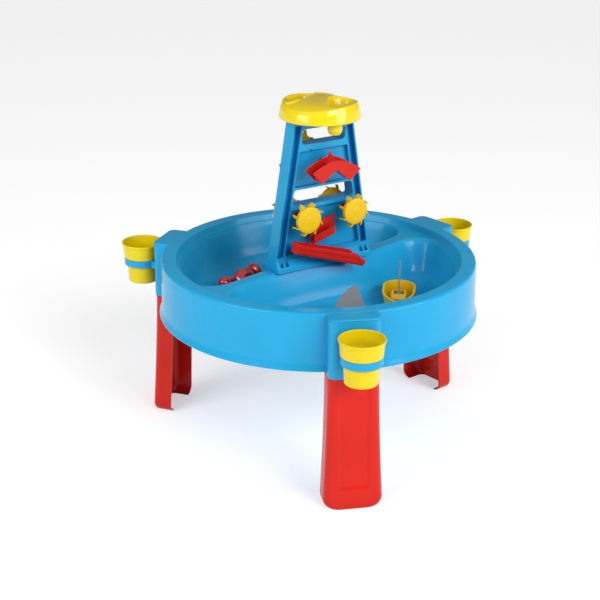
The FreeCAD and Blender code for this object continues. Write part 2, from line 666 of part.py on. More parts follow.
def make_low_chute():
    """Long spout: closed rounded head under the left wheel, low lip at its outlet."""
    n0, n1 = LOW_CHUTE_N
    x0, x1 = LOW_CHUTE_X
    h = LOW_CHUTE_H
    length = (x1 - x0) / math.cos(math.radians(LOW_CHUTE_DEG))
    body = trough(0, length - 16, n0, n1, h, h)
    lip = trough(length - 16, length, n0, n1, h - 9, h - 9)
    end = plan_prism([(length - 20, -n1 - 1), (length + 1, -n1 - 1), (length + 1, -n0 + 1),
                      (length - 20, -n0 + 1)], 0, -1, h + 1)
    soft = plan_prism([(length - 40, -n1), (length, -n1), (length, -n0), (length - 40, -n0)],
                      [0, 9, 9, 0], -1, h + 1)
    lip = lip.cut(end.cut(soft))
    head = box(0, CHUTE_WALL, -n1, -n0, 0, h)
    block = Part.Face(trough_section(0, n0, n1, h, h, False)).extrude(vec(length, 0, 0))
    chute = fused([body, lip, head.common(block)])
    round_head = plan_prism([(0, -n1 - 1), (length + 2, -n1 - 1), (length + 2, -n0 + 1),
                             (0, -n0 + 1)], [8, 0, 0, 8], -1, h + 1)
    chute = chute.common(round_head)
    chute = turned(chute, LOW_CHUTE_DEG, vec(0, 1, 0))
    chute.translate(vec(x0, 0, LOW_CHUTE_TOP - h))
    lugs = []
    for x in (-62, -20):
        z = low_chute_top(x) - 11
        lugs.append(box(x - 4, x + 4, -n0 - 1, -LOW_PANEL_N - REST_GAP, z, z + 6))
    for x, z in ((-50, 10), (-11, -4)):
        lugs.append(box(x - 9, x + 9, -n0 - 7, -n0 - 4, z, low_chute_top(x) - h + 3))
    return fused([chute] + lugs)


def low_chute_top(x):
    return LOW_CHUTE_TOP - (x - LOW_CHUTE_X[0]) * math.tan(math.radians(LOW_CHUTE_DEG))


def make_high_chute():
    """Short chute with a tall splash wall, falling left into the long spout."""
    n0, n1 = HIGH_CHUTE_N
    x0, x1 = HIGH_CHUTE_X
    length = (x1 - x0) / math.cos(math.radians(HIGH_CHUTE_DEG))
    body = trough(-length, 0, n0, n1, 34, 11)
    cap = Part.Face(trough_section(-CHUTE_WALL, n0, n1, 34, 11, False))
    body = body.fuse(cap.extrude(vec(CHUTE_WALL, 0, 0)))
    body = turned(body, -HIGH_CHUTE_DEG, vec(0, 1, 0))
    body.translate(vec(x1, 0, HIGH_CHUTE_FLOOR))
    lug = box(-8, 0, -n0 - 1, -LOW_PANEL_N - REST_GAP, 58, 66)
    return fused([body, lug])


# ---- toys ---------------------------------------------------------------------------------

def boat_wire(half_w, stern, bow, z):
    """Round stern towards +y, pointed bow towards -y."""
    stern_mid = stern - half_w
    right_mid = vec(half_w * 0.80, bow * 0.52, z)
    left_mid = vec(-half_w * 0.80, bow * 0.52, z)
    tip = vec(0, bow, z)
    return Part.Wire([
        Part.Arc(vec(half_w, stern_mid, z), vec(0, stern, z), vec(-half_w, stern_mid, z)).toShape(),
        Part.makeLine(vec(-half_w, stern_mid, z), vec(-half_w, 0, z)),
        Part.Arc(vec(-half_w, 0, z), left_mid, tip).toShape(),
        Part.Arc(tip, right_mid, vec(half_w, 0, z)).toShape(),
        Part.makeLine(vec(half_w, 0, z), vec(half_w, stern_mid, z))])


def placed_on_floor(shape, x, y, degrees):
    toy = turned(shape, degrees)
    toy.translate(vec(x, y, -FLOOR_DROP + REST_GAP))
    return toy


def make_boat():
    """Open hull with a seat block; the mast stands in a hole in the seat's recess."""
    stern = BOAT_LEN * 0.42
    bow = stern - BOAT_LEN
    hull = Part.makeLoft([boat_wire(19, stern - 16, bow + 26, 0),
                          boat_wire(27.5, stern - 4, bow + 10, 8),
                          boat_wire(BOAT_HALF_W, stern, bow, BOAT_H)], True, True)
    well = Part.makeLoft([boat_wire(17, stern - 18, bow + 31, 4),
                          boat_wire(24.5, stern - 7, bow + 15, 10),
                          boat_wire(28, stern - 3.5, bow + 7, BOAT_H + 1)], True, True)
    seat = plan_prism([(-14, -26), (14, -26), (14, 24), (-14, 24)], 5, 3, SEAT_H)
    recess = plan_prism([(-10, 1), (10, 1), (10, 20), (-10, 20)], 3, SEAT_H - 7, SEAT_H + 1)
    boat = fused([hull.cut(well), seat]).cut(recess)
    return boat.cut(Part.makeCylinder(MAST_R + 0.15, 10, vec(0, MAST_Y, SEAT_H - 11)))


def make_mast():
    foot = SEAT_H - 10.7
    mast = Part.makeCylinder(MAST_R, MAST_TOP - foot, vec(0, MAST_Y, foot))
    collar = Part.makeCone(4.2, MAST_R + 0.2, 9, vec(0, MAST_Y, SEAT_H - 2))
    return fused([mast, collar])


def make_sail():
    """Thin sail, straight up one edge and bowed on the other, standing in the front bowl."""
    low = -FLOOR_DROP + REST_GAP
    corners = [vec(2, 0, low), vec(74, 0, low), vec(41, 0, -9)]
    edge = Part.Arc(corners[2], vec(7, 0, -38), corners[0]).toShape()
    wire = Part.Wire([Part.makeLine(corners[0], corners[1]),
                      Part.makeLine(corners[1], corners[2]), edge])
    sail = Part.Face(wire).extrude(vec(0, 3, 0))
    sail.translate(vec(0, SAIL_Y, 0))
    return sail


def stretched(shape, x, y, z):
    matrix = FreeCAD.Matrix()
    matrix.scale(x, y, z)
    return shape.transformGeometry(matrix)


def make_mould():
    """Sand mould: hollow oval body with ribs over its back, a round head and a round tail."""
    half = box(-30, 30, -30, 30, 0, 30)
    parts = [Part.makeSphere(24).common(half)]
    for x in (-13, -4.5, 4.5, 13):
        radius = math.sqrt(24 ** 2 - x ** 2) + 1.0
        rib = Part.makeCylinder(radius, 2.6, vec(x - 1.3, 0, 0), vec(1, 0, 0))
        parts.append(rib.common(half))
    body = fused(parts).cut(Part.makeSphere(21).common(half))
    body = stretched(body, 1.3, 1.0, 1.36)
    head = Part.makeSphere(15, vec(-52, 0, 15))
    neck = Part.makeCylinder(6, 14.5, vec(-44, 0, 13), vec(1, 0, 0))
    tail = Part.makeCylinder(20, 7, vec(44, 3, 19.5), vec(0.94, -0.34, 0))
    tail = tail.makeChamfer(2.0, [e for e in tail.Edges if e.Length > 60])
    stem = Part.makeCylinder(5, 18, vec(29, 0, 13), vec(1, 0, 0))
    under = box(-70, 70, -40, 40, -5, 0.8)
    ends = fused([head, neck]).cut(under), fused([tail, stem]).cut(under)
    return body.multiFuse(list(ends))


# ---- build every node ----------------------------------------------------------------------

export(make_basin(), "table_basin")

bracket = make_bracket()
leg = make_leg()
cup = make_cup()
for corner_name, degrees in CORNER_TURNS.items():
    export(turned(bracket, degrees), "bracket_" + corner_name)
    export(turned(leg, degrees), "leg_" + corner_name)
    export(turned(cup, degrees), "cup_" + corner_name)
    export(turned(make_screw(-1), degrees), "screw_" + corner_name + "_a")
    export(turned(make_screw(1), degrees), "screw_" + corner_name + "_b")

wheel_pin = WHEEL_N[1] - 4
wheel_collars = [("front", LOW_PANEL_N, WHEEL_N[0]), ("rear", LOW_PANEL_N, WHEEL_N[0])]
tower_nodes = {
    "tower_frame": make_tower(),
    "wheel_front_left": make_wheel(-WHEEL_X, WHEEL_Z, "front"),
    "wheel_front_right": make_wheel(WHEEL_X, WHEEL_Z, "front"),
    "wheel_rear_left": make_wheel(-WHEEL_X, WHEEL_Z, "rear"),
    "wheel_rear_right": make_wheel(WHEEL_X, WHEEL_Z, "rear"),
    "wheel_rear_top": make_wheel(TOP_WHEEL_X, TOP_WHEEL_Z, "rear", TOP_WHEEL_N),
    "tipper_front": make_tipper("front"),
    "tipper_rear": make_tipper("rear"),
    "axle_left": make_axle(-WHEEL_X, WHEEL_Z, wheel_pin, wheel_pin, wheel_collars),
    "axle_right": make_axle(WHEEL_X, WHEEL_Z, wheel_pin, wheel_pin, wheel_collars),
    "axle_rear_top": make_axle(TOP_WHEEL_X, TOP_WHEEL_Z, TOP_WHEEL_N[1] - 4, CROSS_PANEL_N,
                               [("rear", TOWER_HALF_DEPTH, TOP_WHEEL_N[0])]),
    "axle_tipper_front": make_axle(0, TIPPER_Z["front"], CROSS_PANEL_N, TIPPER_N[1] - 3,
                                   [("front", CROSS_PANEL_N, TIPPER_N[0])]),
    "axle_tipper_rear": make_axle(0, TIPPER_Z["rear"], TIPPER_N[1] - 3, CROSS_PANEL_N,
                                  [("rear", CROSS_PANEL_N, TIPPER_N[0])]),
    "chute_low_front": make_low_chute(),
    "chute_high_front": make_high_chute(),
    "chute_low_rear": turned(make_low_chute(), 180),
    "chute_high_rear": turned(make_high_chute(), 180),
}
for node_name, shape in tower_nodes.items():
    export(turned(shape, TOWER_DEG), node_name)

export(make_hopper(), "hopper")

export(placed_on_floor(make_boat(), BOAT_POS[0], BOAT_POS[1], BOAT_TURN), "boat_hull")
export(placed_on_floor(make_mast(), BOAT_POS[0], BOAT_POS[1], BOAT_TURN), "boat_mast")
export(make_sail(), "sail_blade")
export(placed_on_floor(make_mould(), MOULD_POS[0], MOULD_POS[1], MOULD_TURN), "sand_mould")
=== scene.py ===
import json
import math

import bmesh
import bpy
import numpy as np
from mathutils import Matrix, Vector


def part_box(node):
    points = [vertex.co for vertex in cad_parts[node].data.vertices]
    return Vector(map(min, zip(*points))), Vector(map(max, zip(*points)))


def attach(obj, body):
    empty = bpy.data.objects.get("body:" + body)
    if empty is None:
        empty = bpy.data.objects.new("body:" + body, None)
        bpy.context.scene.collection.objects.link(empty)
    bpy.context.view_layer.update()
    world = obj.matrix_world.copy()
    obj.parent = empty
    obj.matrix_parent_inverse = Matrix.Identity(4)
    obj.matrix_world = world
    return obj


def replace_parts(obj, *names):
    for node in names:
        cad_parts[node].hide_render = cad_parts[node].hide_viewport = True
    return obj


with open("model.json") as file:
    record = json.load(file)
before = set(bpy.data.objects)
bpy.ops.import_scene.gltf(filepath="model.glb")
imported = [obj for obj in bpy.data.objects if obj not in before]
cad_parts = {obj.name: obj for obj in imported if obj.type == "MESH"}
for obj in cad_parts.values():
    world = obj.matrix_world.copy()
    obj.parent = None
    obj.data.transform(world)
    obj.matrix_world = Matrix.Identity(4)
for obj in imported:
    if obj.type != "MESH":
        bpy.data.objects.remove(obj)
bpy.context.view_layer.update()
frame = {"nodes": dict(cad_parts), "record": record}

# Every shape is in mm about AXIS, the point on the table's middle line level with its rim.
MM = 0.001
RIM_Z = 362.0                                    # top of the rim above the floor
AXIS = Vector((0.0, (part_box("hopper")[0].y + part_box("hopper")[1].y) / 2, RIM_Z * MM))
TOWER_DEG = 22.0                                 # the tower's turn about the middle line
CORNERS = {"front": -90.0, "right": 30.0, "left": 150.0}


# ---- camera -------------------------------------------------------------------------------

CAMERA_DEG = (-11.55, 19.73)                     # azimuth from the front, elevation
CAMERA_AWAY = 2.609                              # metres from AXIS
CAMERA_TURN = (-0.76, -1.92, 0.54)               # pan, tilt and roll for the framing, degrees
SENSOR_MM, FOCAL_PX, FRAME_PX = 36.0, 1362.0, 600.0


def make_camera():
    """Looks at the table's middle at rim height, then is turned a little for the framing."""
    azimuth, elevation = (math.radians(a) for a in CAMERA_DEG)
    pan, tilt, roll = (math.radians(a) for a in CAMERA_TURN)
    back = Vector((math.sin(azimuth) * math.cos(elevation),
                   -math.cos(azimuth) * math.cos(elevation), math.sin(elevation)))
    right = Vector((math.cos(azimuth), math.sin(azimuth), 0))
    up = back.cross(right)
    ahead = -back
    right, ahead = (right * math.cos(pan) - ahead * math.sin(pan),
                    right * math.sin(pan) + ahead * math.cos(pan))
    up, ahead = (up * math.cos(tilt) - ahead * math.sin(tilt),
                 up * math.sin(tilt) + ahead * math.cos(tilt))
    right, up = (right * math.cos(roll) + up * math.sin(roll),
                 up * math.cos(roll) - right * math.sin(roll))
    data = bpy.data.cameras.new("camera")
    data.sensor_width = SENSOR_MM
    data.lens = FOCAL_PX / FRAME_PX * SENSOR_MM
    data.clip_end = 50.0
    camera = bpy.data.objects.new("camera", data)
    bpy.context.scene.collection.objects.link(camera)
    turn = Matrix((right, up, -ahead)).transposed().to_4x4()
    camera.matrix_world = Matrix.Translation(AXIS + back * CAMERA_AWAY) @ turn
    bpy.context.scene.camera = camera


# ---- light and floor ----------------------------------------------------------------------

SUN_AWAY, WINDOW_AWAY = 4.0, 2.4                 # metres
SUNS = (                                         # name, azimuth, elevation, strength, angle
    ("key", 24, 32, 1.20, 24),
    ("fill", -50, 40, 0.32, 60),
    ("overhead", 100, 82, 0.35, 60),
)
WINDOWS = (                                      # name, azimuth, elevation, size in m, watts
    ("window_right", 50, 21, (1.25, 1.20), 27.0),
    ("window_left", -62, 26, (1.40, 1.25), 27.0),
    ("window_front", -8, 34, (0.34, 0.20), 2.2),
)
SKY_STRENGTH = 0.21
FLOOR_REACH = 60.0                               # metres
FLOOR_INPUTS = {"Base Color": (0.74, 0.74, 0.745, 1), "Roughness": 0.9,
                "Specular IOR Level": 0.1, "Emission Color": (1.0, 1.0, 1.0, 1),
                "Emission Strength": 0.43}


def aim(light, azimuth, elevation, distance):
    """Puts a light at that azimuth from the front and elevation, turned towards AXIS."""
    a, e = math.radians(azimuth), math.radians(elevation)
    away = Vector((math.sin(a) * math.cos(e), -math.cos(a) * math.cos(e), math.sin(e)))
    light.location = AXIS + away * distance
    light.rotation_euler = away.to_track_quat("Z", "Y").to_euler()


def sun_light(name, azimuth, elevation, strength, angle):
    data = bpy.data.lights.new(name, "SUN")
    data.energy = strength
    data.angle = math.radians(angle)
    light = bpy.data.objects.new(name, data)
    bpy.context.scene.collection.objects.link(light)
    aim(light, azimuth, elevation, SUN_AWAY)


def soft_box(name, azimuth, elevation, size, power):
    """Bright panel: little light, but a clean highlight on glossy plastic."""
    data = bpy.data.lights.new(name, "AREA")
    data.shape = "RECTANGLE"
    data.size, data.size_y = size
    data.energy = power
    light = bpy.data.objects.new(name, data)
    bpy.context.scene.collection.objects.link(light)
    aim(light, azimuth, elevation, WINDOW_AWAY)


def make_floor():
    mesh = bpy.data.meshes.new("floor")
    corners = [(x * FLOOR_REACH, y * FLOOR_REACH, 0)
               for x, y in ((-1, -1), (1, -1), (1, 1), (-1, 1))]
    mesh.from_pydata(corners, [], [(0, 1, 2, 3)])
    floor = bpy.data.objects.new("floor", mesh)
    bpy.context.scene.collection.objects.link(floor)
    material = bpy.data.materials.new("floor_paint")
    material.use_nodes = True
    tree = material.node_tree
    shader = tree.nodes["Principled BSDF"]
    for key, value in FLOOR_INPUTS.items():
        shader.inputs[key].default_value = value
    noise = tree.nodes.new("ShaderNodeTexNoise")
    noise.inputs["Scale"].default_value = 60.0
    bump = tree.nodes.new("ShaderNodeBump")
    bump.inputs["Strength"].default_value = 0.02
    bump.inputs["Distance"].default_value = 0.001
    tree.links.new(noise.outputs["Fac"], bump.inputs["Height"])
    tree.links.new(bump.outputs["Normal"], shader.inputs["Normal"])
    floor.data.materials.append(material)


def make_studio():
    world = bpy.data.worlds.new("studio")
    bpy.context.scene.world = world
    world.use_nodes = True
    background = world.node_tree.nodes["Background"]
    background.inputs["Color"].default_value = (1.0, 1.0, 1.0, 1.0)
    background.inputs["Strength"].default_value = SKY_STRENGTH
    for sun in SUNS:
        sun_light(*sun)
    for window in WINDOWS:
        soft_box(*window)
    make_floor()
    scene = bpy.context.scene
    scene.view_settings.view_transform = "Standard"
    scene.view_settings.look = "None"


# ---- materials ----------------------------------------------------------------------------

class Graph:
    """Small helper for building a material's nodes."""

    def __init__(self, name):
        self.material = bpy.data.materials.new(name)
        self.material.use_nodes = True
        self.tree = self.material.node_tree
        self.shader = self.tree.nodes["Principled BSDF"]

    def node(self, kind, inputs=None, **settings):
        node = self.tree.nodes.new(kind)
        for key, value in settings.items():
            setattr(node, key, value)
        for key, value in (inputs or {}).items():
            if isinstance(value, bpy.types.NodeSocket):
                self.tree.links.new(value, node.inputs[key])
            else:
                node.inputs[key].default_value = value
        return node

    def math(self, operation, a, b=0.0):
        node = self.node("ShaderNodeMath", operation=operation)
        for i, value in enumerate((a, b)):
            if isinstance(value, bpy.types.NodeSocket):
                self.tree.links.new(value, node.inputs[i])
            else:
                node.inputs[i].default_value = value
        return node.outputs[0]

    def span(self, value, low, high, to_low, to_high):
        node = self.node("ShaderNodeMapRange", {"Value": value, "From Min": low,
                                                "From Max": high, "To Min": to_low,
                                                "To Max": to_high})
        return node.outputs["Result"]

    def mix(self, factor, a, b, blend="MIX"):
        node = self.node("ShaderNodeMix", data_type="RGBA", blend_type=blend)
        for index, value in ((0, factor), (6, a), (7, b)):
            if isinstance(value, bpy.types.NodeSocket):
                self.tree.links.new(value, node.inputs[index])
            else:
                node.inputs[index].default_value = value
        return node.outputs[2]


def shade(color, factor):
    return tuple(min(1.0, c * factor) for c in color) + (1.0,)


EDGE_WEAR = 0.0008                               # metres, width of the paler edges
SHADE_REACH = 0.05                                    # metres, reach of the painted shade in hollows and corners


def moulded_plastic(name, color, rough=0.3, shine=0.3, coat=0.0):
    """Injection-moulded plastic: flow marks, fine grain, scuffs, paler edges, and painted shade in
    its hollows.
    """
    g = Graph(name)
    place = g.node("ShaderNodeTexCoord").outputs["Object"]
    flow = g.node("ShaderNodeTexNoise", {"Vector": place, "Scale": 7.0, "Detail": 3.0,
                                         "Distortion": 0.6}).outputs["Fac"]
    mottle = g.node("ShaderNodeTexNoise", {"Vector": place, "Scale": 85.0,
                                           "Detail": 4.0}).outputs["Fac"]
    grain = g.node("ShaderNodeTexNoise", {"Vector": place, "Scale": 1500.0,
                                          "Detail": 2.0}).outputs["Fac"]
    ripple = g.node("ShaderNodeTexNoise", {"Vector": place, "Scale": 38.0,
                                           "Detail": 1.0}).outputs["Fac"]
    long_way = g.node("ShaderNodeMapping", {"Vector": place, "Rotation": (0.4, 0.2, 0.7),
                                            "Scale": (520.0, 14.0, 420.0)}).outputs[0]
    scratch = g.node("ShaderNodeTexNoise", {"Vector": long_way, "Scale": 1.0,
                                            "Detail": 2.0}).outputs["Fac"]
    scratch = g.span(scratch, 0.66, 0.74, 0.0, 1.0)
    patches = g.span(flow, 0.5, 0.68, 0.0, 1.0)
    scuff = g.math("MULTIPLY", scratch, patches)

    soft = g.node("ShaderNodeBevel", {"Radius": EDGE_WEAR}, samples=4).outputs["Normal"]
    flat = g.node("ShaderNodeNewGeometry").outputs["Normal"]
    dot = g.node("ShaderNodeVectorMath", {0: soft, 1: flat}, operation="DOT_PRODUCT")
    worn = g.span(dot.outputs["Value"], 0.98, 0.80, 0.0, 1.0)
    worn = g.math("MULTIPLY", worn, g.span(mottle, 0.35, 0.65, 0.35, 1.0))

    base = g.mix(g.span(flow, 0.3, 0.7, 0.0, 1.0), shade(color, 0.95), shade(color, 1.04))
    base = g.mix(g.span(mottle, 0.4, 0.7, 0.0, 0.25), base, shade(color, 0.93))
    paler = tuple(c + (1 - c) * 0.16 for c in color) + (1.0,)
    base = g.mix(g.math("MULTIPLY", worn, 0.55), base, paler)
    base = g.mix(g.math("MULTIPLY", scuff, 0.04), base, paler)
    # Painted shade: ambient occlusion darkens recesses, corners and gaps between parts towards a
    # deeper, bluer tint, which stands in for shadow and bounce light.
    painted_shade = g.node("ShaderNodeAmbientOcclusion", {"Distance": SHADE_REACH}, samples=6).outputs["AO"]
    shade_tint = (color[0] * 0.6, color[1] * 0.52, color[2] * 0.84, 1.0)
    base = g.mix(g.span(painted_shade, 0.85, 0.25, 0.0, 0.75), base, shade_tint)

    gloss = g.span(mottle, 0.3, 0.7, rough - 0.05, rough + 0.05)
    gloss = g.math("ADD", gloss, g.math("MULTIPLY", scuff, 0.02))
    gloss = g.math("ADD", gloss, g.math("MULTIPLY", worn, 0.08))

    height = g.math("ADD", g.math("MULTIPLY", grain, 0.06), g.math("MULTIPLY", ripple, 0.10))
    bump = g.node("ShaderNodeBump", {"Strength": 0.05, "Distance": 0.0004, "Height": height,
                                     "Normal": soft})
    links = g.tree.links
    links.new(base, g.shader.inputs["Base Color"])
    links.new(gloss, g.shader.inputs["Roughness"])
    links.new(bump.outputs["Normal"], g.shader.inputs["Normal"])
    g.shader.inputs["Specular IOR Level"].default_value = shine
    g.shader.inputs["Coat Weight"].default_value = coat
    g.shader.inputs["Coat Roughness"].default_value = 0.04
    g.shader.inputs["Coat IOR"].default_value = 1.6
    g.shader.inputs["IOR"].default_value = 1.49
    return g.material


def plated_steel(name):
    """Zinc-plated screw: dull metal with a faint spangle."""
    g = Graph(name)
    place = g.node("ShaderNodeTexCoord").outputs["Object"]
    spangle = g.node("ShaderNodeTexVoronoi", {"Vector": place, "Scale": 700.0}).outputs["Color"]
    haze = g.node("ShaderNodeTexNoise", {"Vector": place, "Scale": 260.0,
                                         "Detail": 3.0}).outputs["Fac"]
    base = g.mix(0.12, (0.62, 0.63, 0.65, 1), spangle)
    g.tree.links.new(base, g.shader.inputs["Base Color"])
    g.tree.links.new(g.span(haze, 0.3, 0.7, 0.28, 0.5), g.shader.inputs["Roughness"])
    bump = g.node("ShaderNodeBump", {"Strength": 0.15, "Distance": 0.0001, "Height": haze})
    g.tree.links.new(bump.outputs["Normal"], g.shader.inputs["Normal"])
    g.shader.inputs["Metallic"].default_value = 1.0
    return g.material


MATERIALS = {                                    # colour, roughness, specular level, coat
    "blue": moulded_plastic("blue_plastic", (0.014, 0.322, 0.590), 0.20, 0.18, 0.02),
    "red": moulded_plastic("red_plastic", (0.560, 0.014, 0.007), 0.20, 0.17, 0.02),
    "candy": moulded_plastic("glossy_red", (0.480, 0.008, 0.010), 0.12, 0.40, 0.9),
    "yellow": moulded_plastic("yellow_plastic", (0.720, 0.555, 0.003), 0.26, 0.26, 0.06),
    "golden": moulded_plastic("golden_plastic", (0.760, 0.480, 0.002), 0.28, 0.26, 0.05),
    "glossy": moulded_plastic("glossy_yellow", (0.770, 0.580, 0.003), 0.20, 0.22, 0.50),
    "grey": moulded_plastic("grey_plastic", (0.235, 0.235, 0.240), 0.42),
    "steel": plated_steel("zinc_plate"),
}


# ---- mesh helpers -------------------------------------------------------------------------

def make_piece(name, parts, slot, body, nodes=(), turn=0.0, finish=None, sharp=50.0):
    """One object from several closed shells; finish is its material where slot's isn't right."""
    build = bmesh.new()
    for vertices, faces in parts:
        points = np.asarray(vertices, float)
        a = math.radians(turn)
        x = points[:, 0] * math.cos(a) - points[:, 1] * math.sin(a)
        y = points[:, 0] * math.sin(a) + points[:, 1] * math.cos(a)
        made = [build.verts.new((x[i] * MM + AXIS.x, y[i] * MM + AXIS.y,
                                 points[i, 2] * MM + AXIS.z)) for i in range(len(points))]
        for face in faces:
            build.faces.new([made[i] for i in face])
    bmesh.ops.remove_doubles(build, verts=build.verts, dist=1e-6)
    bmesh.ops.recalc_face_normals(build, faces=build.faces)
    mesh = bpy.data.meshes.new(name)
    build.to_mesh(mesh)
    build.free()
    mesh.polygons.foreach_set("use_smooth", [True] * len(mesh.polygons))
    mesh.set_sharp_from_angle(angle=math.radians(sharp))
    mesh.materials.append(MATERIALS[finish or slot])
    piece = bpy.data.objects.new(name, mesh)
    bpy.context.scene.collection.objects.link(piece)
    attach(piece, body)
    for node in nodes:
        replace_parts(piece, node)
    return piece


def ring_faces(rings, count, joined=False):
    """Quads between successive closed rings of count vertices; joined closes the tube."""
    faces = []
    for i in range(rings if joined else rings - 1):
        a, b = i * count, (i + 1) % rings * count
        for j in range(count):
            k = (j + 1) % count
            faces.append((a + j, b + j, b + k, a + k))
    return faces


def loft(rows):
    """Closed shell through successive rings of points, capped at both ends."""
    count = len(rows[0])
    faces = ring_faces(len(rows), count)
    faces.append(tuple(range(count)))
    faces.append(tuple(range((len(rows) - 1) * count, len(rows) * count)))
    return [v for row in rows for v in row], faces


def box_shell(x0, x1, y0, y1, z0, z1):
    return loft([[(x, y, z) for x, y in ((x0, y0), (x1, y0), (x1, y1), (x0, y1))]
                 for z in (z0, z1)])


def lathe(profile, count=96, joined=False):
    """Profile of (r, z) turned about Z; r = 0 closes that end, joined makes it a ring."""
    angles = [2 * math.pi * j / count for j in range(count)]
    vertices = [(r * math.cos(a), r * math.sin(a), z) for r, z in profile for a in angles]
    return vertices, ring_faces(len(profile), count, joined)


def moved(part, x=0.0, y=0.0, z=0.0):
    vertices, faces = part
    return [(v[0] + x, v[1] + y, v[2] + z) for v in vertices], faces


def spun(part, degrees, axis):
    vertices, faces = part
    turn = Matrix.Rotation(math.radians(degrees), 3, axis)
    return [tuple(turn @ Vector(v)) for v in vertices], faces


def rounded_profile(points, radii, steps=6):
    """Open profile of (r, z) with its inner corners rounded."""
    out = [points[0]]
    for i in range(1, len(points) - 1):
        p, q, r = Vector(points[i - 1]), Vector(points[i]), Vector(points[i + 1])
        radius = radii[i]
        if radius <= 0:
            out.append(tuple(q))
            continue
        a, b = (p - q).normalized(), (r - q).normalized()
        half = a.angle(b) / 2
        reach = min(radius / math.tan(half), 0.49 * (p - q).length, 0.49 * (r - q).length)
        for k in range(steps + 1):
            t = k / steps
            curve = (q + a * reach) * (1 - t) ** 2 + q * 2 * t * (1 - t) + (q + b * reach) * t * t
            out.append(tuple(curve))
    out.append(points[-1])
    return out


def smooth_table(knots, width, step=0.25):
    """Piecewise line through the knots with its corners rounded over the given width."""
    x = np.arange(knots[0][0] - 4 * width, knots[-1][0] + 4 * width, step)
    y = np.interp(x, [k[0] for k in knots], [k[1] for k in knots])
    for _ in range(2):
        kernel = np.ones(max(1, int(width / step)))
        padded = np.pad(y, len(kernel), mode="edge")
        y = np.convolve(padded, kernel / len(kernel), mode="same")[len(kernel):-len(kernel)]
    return x, y


# ---- table top ----------------------------------------------------------------------------

POCKET_R = 262.0                                 # outer wall of both compartments
DIVIDER_HALF = 16.0
DIVIDER_MID, DIVIDER_END = 22.0, 35.3            # heading of its middle and its ends, degrees
DIVIDER_OFF = 22.5                               # how far its ends run beside the middle line
DIVIDER_BEND = 12.0                              # softness of the bends between them
DIVIDER_SLOPE = 0.89                             # its sides are less steep than the outer wall
POCKET_CORNER = 60.0
LEDGE_Z = -12.5                                  # ledge inside the rim
LEDGE_R = 264.0
TRAY_WALL = 3.8
TOP_COUNT, TOP_RINGS, UNDER_RINGS = 720, 236, 120


def line_value(x, y, degrees, offset):
    """Distance to the left of a line with that heading and offset."""
    a = math.radians(degrees)
    return -math.sin(a) * x + math.cos(a) * y - offset


def soft_min(a, b, k):
    """Smaller of the two, blended where they differ by less than k."""
    h = np.clip(0.5 + 0.5 * (b - a) / k, 0, 1)
    return b * (1 - h) + a * h - k * h * (1 - h)


def pocket_depth(x, y):
    """Distance inside the rear compartment's edge, in mm; negative outside it."""
    left = line_value(x, y, DIVIDER_END, DIVIDER_OFF + DIVIDER_HALF)
    middle = line_value(x, y, DIVIDER_MID, DIVIDER_HALF)
    right = line_value(x, y, DIVIDER_END, DIVIDER_HALF - DIVIDER_OFF)
    divider = -soft_min(-left, -middle, DIVIDER_BEND)
    divider = soft_min(divider, right, DIVIDER_BEND)
    divider = np.where(divider > 0, divider * DIVIDER_SLOPE, divider)
    wall = POCKET_R - np.hypot(x, y)
    a, b = POCKET_CORNER - wall, POCKET_CORNER - divider
    rounded = POCKET_CORNER - np.hypot(np.maximum(a, 0), np.maximum(b, 0))
    return np.where(np.maximum(a, b) < 0, np.minimum(wall, divider), rounded)


BASIN_PROFILE = smooth_table([(-60, LEDGE_Z), (-3.2, LEDGE_Z), (0.6, -19), (12.5, -62),
                              (18, -75.5), (26, -84), (38, -89.5), (57, -92), (200, -92)], 3.0)


def deck_height(x, y, widen=0.0):
    depth = np.maximum(pocket_depth(x, y), pocket_depth(-x, -y))
    return np.interp(depth + widen, BASIN_PROFILE[0], BASIN_PROFILE[1])


def make_basin():
    """Tray, ledge, rim, skirt and underside as one closed polar grid."""
    count = TOP_COUNT
    angles = np.arange(count) * 2 * math.pi / count
    vertices = []
    for r in np.linspace(0.6, LEDGE_R, TOP_RINGS):
        x, y = r * np.cos(angles), r * np.sin(angles)
        vertices.append(np.stack([x, y, deck_height(x, y)], 1))
    rim = rounded_profile([(264.4, LEDGE_Z), (267.2, LEDGE_Z), (272.0, 0.0), (300.0, 0.0),
                           (301.5, -94.0), (306.5, -107.0), (303.2, -107.0), (298.2, -94.0),
                           (296.2, -4.0), (275.0, -4.0), (270.5, -16.3), (LEDGE_R, -16.3)],
                          [0, 2.5, 3.2, 6.0, 26, 0.8, 0.8, 24, 4, 3, 3, 0], 7)
    for r, z in rim:
        vertices.append(np.stack([r * np.cos(angles), r * np.sin(angles),
                                  np.full(count, z)], 1))
    for r in np.linspace(262.5, 0.6, UNDER_RINGS):
        x, y = r * np.cos(angles), r * np.sin(angles)
        under = np.minimum(deck_height(x, y, 3.4), LEDGE_Z) - TRAY_WALL
        vertices.append(np.stack([x, y, under], 1))
    total = len(vertices)
    faces = ring_faces(total, count)
    faces.append(tuple(reversed(range(count))))
    faces.append(tuple(range((total - 1) * count, total * count)))
    return make_piece("basin_skin", [(np.concatenate(vertices), faces)], "blue", "table",
                      ["table_basin"])


# ---- hopper -------------------------------------------------------------------------------

